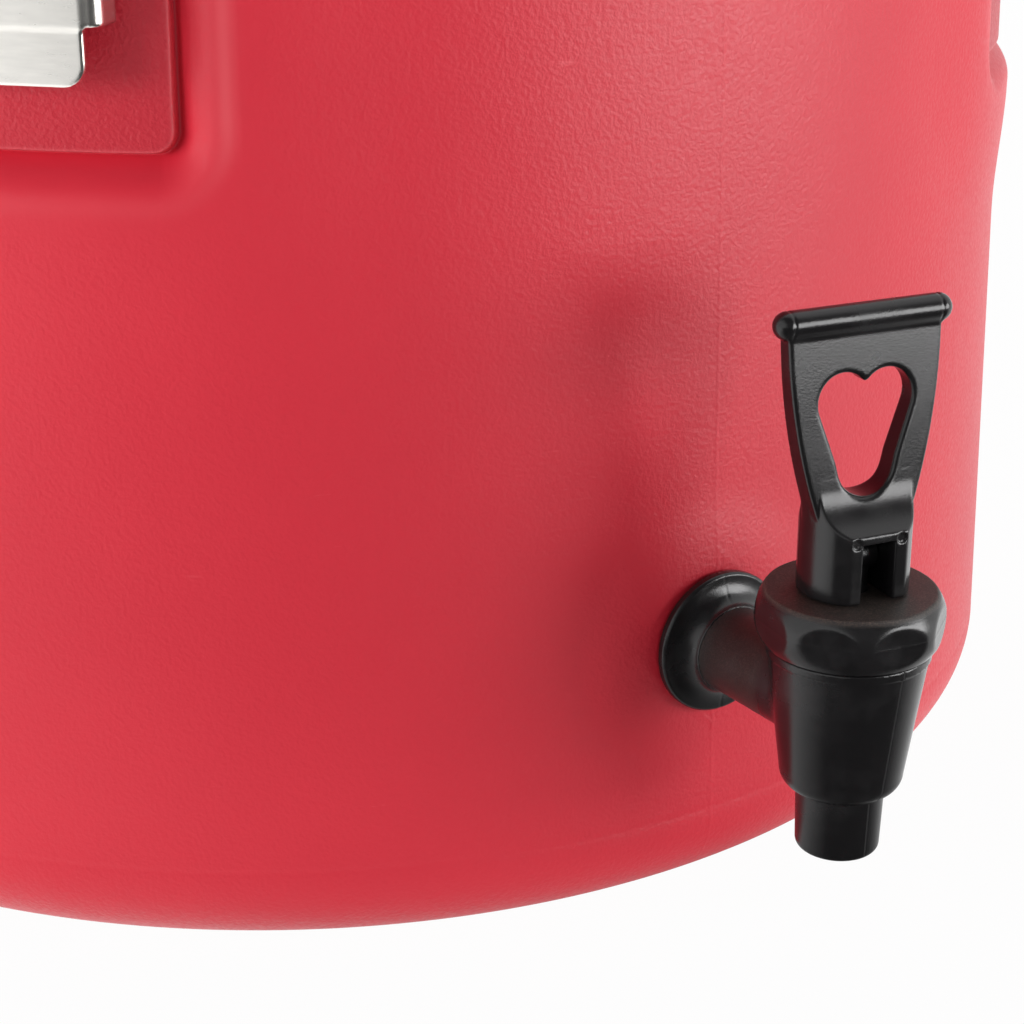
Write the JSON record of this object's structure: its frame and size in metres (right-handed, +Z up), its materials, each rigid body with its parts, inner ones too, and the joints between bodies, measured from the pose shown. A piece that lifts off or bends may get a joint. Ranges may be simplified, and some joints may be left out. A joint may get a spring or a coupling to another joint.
{
  "type": "insulated beverage dispenser",
  "caption": "Round insulated drink dispenser: double-walled foam-filled tub with lever tap, over-centre latches, hand holds and a lift-off insulated lid with vent cap.",
  "frame": {"origin": "middle of the base face, on the table", "axes": "+Z up along the tub's axis, the tap points along -Y"},
  "size_m": [0.3698, 0.4308, 0.3148],
  "materials": {
    "red_shell": "moulded polyethylene with a fine grain",
    "red_liner": "smooth moulded polyethylene",
    "foam": "closed-cell foam",
    "black_plastic": "glossy moulded plastic",
    "rubber": "matte",
    "white_plastic": "moulded",
    "stainless": "polished stainless steel"
  },
  "bodies": {
    "tub": {"outer_shell": "red_shell", "inner_liner": "red_liner", "foam_fill": "foam", "base_plug": "red_liner", "latch_base_1": "stainless", "latch_base_2": "stainless", "latch_base_3": "stainless", "latch_base_4": "stainless", "latch_pivots": "stainless", "latch_rivets": "stainless", "tap_washer": "rubber", "tap_collar": "black_plastic", "tap_body": "black_plastic", "tap_bonnet": "black_plastic", "shank_seal": "rubber", "shank_nut": "white_plastic", "tap_spring": "stainless"},
    "lid": {"lid_shell": "red_shell", "lid_plug": "red_liner", "lid_foam": "foam", "lid_gasket": "rubber", "lid_keepers": "stainless", "keeper_rivets": "stainless", "vent_seal": "rubber"},
    "vent": {"vent_cap": "black_plastic"},
    "stem": {"tap_stem": "black_plastic", "seat_cup": "white_plastic", "lever_pin": "stainless"},
    "handle": {"tap_lever": "black_plastic"},
    "latch_1": {"latch_lever_1": "stainless", "hook_pin_1": "stainless"},
    "hook_1": {"latch_hook_1": "stainless"},
    "latch_2": {"latch_lever_2": "stainless", "hook_pin_2": "stainless"},
    "hook_2": {"latch_hook_2": "stainless"},
    "latch_3": {"latch_lever_3": "stainless", "hook_pin_3": "stainless"},
    "hook_3": {"latch_hook_3": "stainless"},
    "latch_4": {"latch_lever_4": "stainless", "hook_pin_4": "stainless"},
    "hook_4": {"latch_hook_4": "stainless"}
  },
  "joints": [
    {"name": "lid_lift", "type": "slide", "parent": "tub", "child": "lid", "axis": [0, 0, 1], "range_m": [0, 0.024]},
    {"name": "vent_turn", "type": "hinge", "parent": "lid", "child": "vent", "pos_m": [0, 0.07, 0.308], "axis": [0, 0, 1], "range_deg": [0, 90]},
    {"name": "stem_lift", "type": "slide", "parent": "tub", "child": "stem", "axis": [0, 0, 1], "range_m": [0, 0.0041], "deforming": ["tap_spring"]},
    {"name": "lever_tilt", "type": "hinge", "parent": "stem", "child": "handle", "pos_m": [0, -0.2268, 0.0981], "axis": [0.9877, -0.1564, 0], "range_deg": [0, 25], "stiffness_Nm_per_rad": 0.6, "springref_deg": -11.46},
    {"name": "latch_1_swing", "type": "hinge", "parent": "tub", "child": "latch_1", "pos_m": [-0.13, -0.13, 0.236], "axis": [-0.7071, 0.7071, 0], "range_deg": [0, 60.1]},
    {"name": "hook_1_swing", "type": "hinge", "parent": "latch_1", "child": "hook_1", "pos_m": [-0.13074, -0.13074, 0.222], "axis": [0.7071, -0.7071, 0], "range_deg": [0, 114.2]},
    {"name": "latch_2_swing", "type": "hinge", "parent": "tub", "child": "latch_2", "pos_m": [0.13, -0.13, 0.236], "axis": [-0.7071, -0.7071, 0], "range_deg": [0, 60.1]},
    {"name": "hook_2_swing", "type": "hinge", "parent": "latch_2", "child": "hook_2", "pos_m": [0.13074, -0.13074, 0.222], "axis": [0.7071, 0.7071, 0], "range_deg": [0, 114.2]},
    {"name": "latch_3_swing", "type": "hinge", "parent": "tub", "child": "latch_3", "pos_m": [0.13, 0.13, 0.236], "axis": [0.7071, -0.7071, 0], "range_deg": [0, 60.1]},
    {"name": "hook_3_swing", "type": "hinge", "parent": "latch_3", "child": "hook_3", "pos_m": [0.13074, 0.13074, 0.222], "axis": [-0.7071, 0.7071, 0], "range_deg": [0, 114.2]},
    {"name": "latch_4_swing", "type": "hinge", "parent": "tub", "child": "latch_4", "pos_m": [-0.13, 0.13, 0.236], "axis": [0.7071, 0.7071, 0], "range_deg": [0, 60.1]},
    {"name": "hook_4_swing", "type": "hinge", "parent": "latch_4", "child": "hook_4", "pos_m": [-0.13074, 0.13074, 0.222], "axis": [-0.7071, -0.7071, 0], "range_deg": [0, 114.2]}
  ],
  "couplings": [
    {"joint": "stem_lift", "follows": "lever_tilt", "m_per_rad": 0.0092},
    {"joint": "latch_1_swing", "follows": "lid_lift", "rad_per_m": 43.633},
    {"joint": "hook_1_swing", "follows": "lid_lift", "rad_per_m": 82.903},
    {"joint": "latch_2_swing", "follows": "lid_lift", "rad_per_m": 43.633},
    {"joint": "hook_2_swing", "follows": "lid_lift", "rad_per_m": 82.903},
    {"joint": "latch_3_swing", "follows": "lid_lift", "rad_per_m": 43.633},
    {"joint": "hook_3_swing", "follows": "lid_lift", "rad_per_m": 82.903},
    {"joint": "latch_4_swing", "follows": "lid_lift", "rad_per_m": 43.633},
    {"joint": "hook_4_swing", "follows": "lid_lift", "rad_per_m": 82.903}
  ]
}
